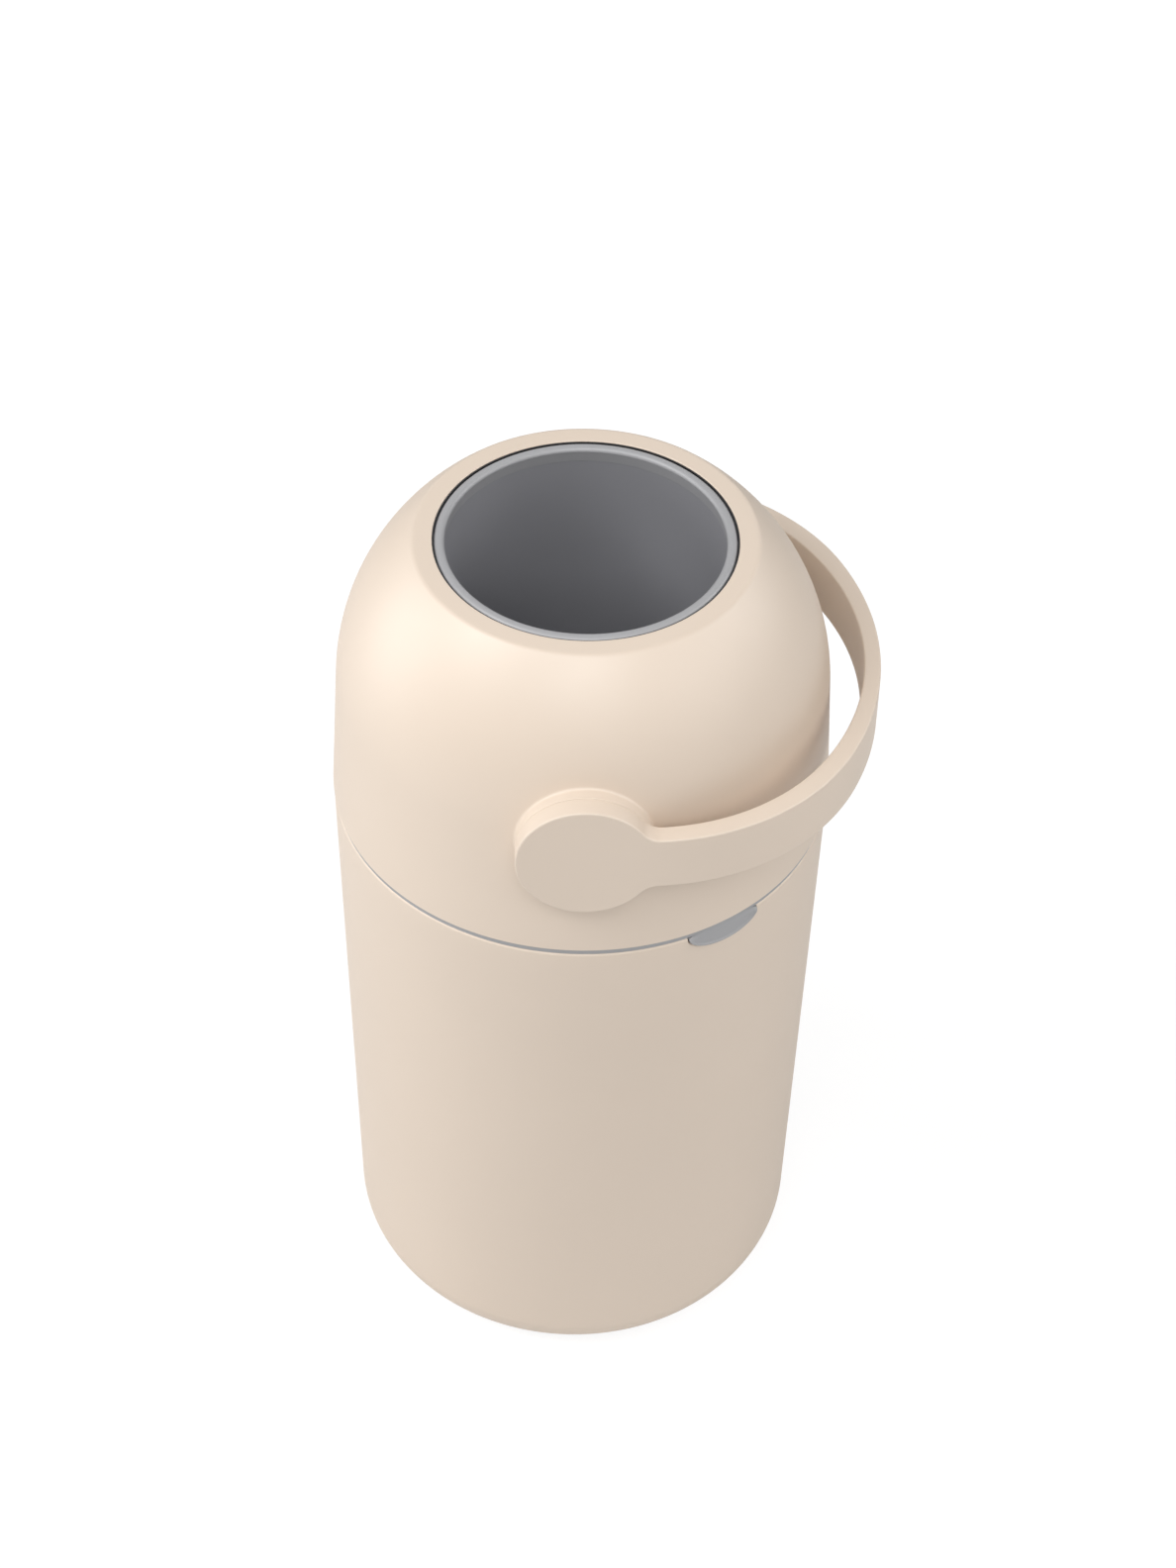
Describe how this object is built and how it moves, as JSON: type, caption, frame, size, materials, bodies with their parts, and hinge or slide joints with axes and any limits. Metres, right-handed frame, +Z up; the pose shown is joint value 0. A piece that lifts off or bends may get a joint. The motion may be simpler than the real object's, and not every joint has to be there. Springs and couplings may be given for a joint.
{
  "type": "nappy bin",
  "caption": "Tall round nappy bin: a bucket with a bag ring under a lift-off domed head, whose tube drum turns over with a bail handle.",
  "frame": {"origin": "centre of the base, on the floor", "axes": "+Z up, the drum's pivot axis along Y, and the handle at rest points along +X"},
  "size_m": [0.3028, 0.2968, 0.5441],
  "materials": {
    "cream_plastic": "satin moulded plastic, warm cream",
    "grey_plastic": "satin moulded plastic, cool grey",
    "tube_plastic": "smooth satin, darker cool grey",
    "seal_rubber": "soft matt rubber",
    "acetal": "slippery natural acetal",
    "steel": "zinc-plated steel"
  },
  "bodies": {
    "bucket": {"bucket": "cream_plastic", "base_pads": "seal_rubber"},
    "ring": {"bag_ring": "grey_plastic", "ring_gasket": "seal_rubber"},
    "head": {"dome": "cream_plastic", "upper_seal": "seal_rubber", "head_base": "grey_plastic", "lower_seal": "seal_rubber", "base_screws": "steel", "bush_front": "acetal", "bush_rear": "acetal"},
    "drum": {"drum_front": "grey_plastic", "drum_rear": "grey_plastic", "drum_screws": "steel", "nappy_tube": "tube_plastic", "upper_lip_ring": "grey_plastic", "lower_lip_ring": "grey_plastic", "axle_front": "acetal", "axle_rear": "acetal", "axle_screws": "steel", "handle": "cream_plastic"},
    "piston": {"piston_cup": "grey_plastic", "piston_cover": "grey_plastic", "piston_weight": "steel", "upper_wiper": "seal_rubber", "lower_wiper": "seal_rubber", "piston_screws": "steel"}
  },
  "joints": [
    {"name": "ring_lift", "type": "slide", "parent": "bucket", "child": "ring", "axis": [0, 0, 1], "range_m": [0, 0.1]},
    {"name": "head_lift", "type": "slide", "parent": "ring", "child": "head", "axis": [0, 0, 1], "range_m": [0, 0.3]},
    {"name": "drum_turn", "type": "hinge", "parent": "head", "child": "drum", "pos_m": [0, 0, 0.4476], "axis": [0, -1, 0], "range_deg": [0, 180]},
    {"name": "piston_slide", "type": "slide", "parent": "drum", "child": "piston", "axis": [0, 0, 1], "range_m": [0, 0.144]}
  ]
}
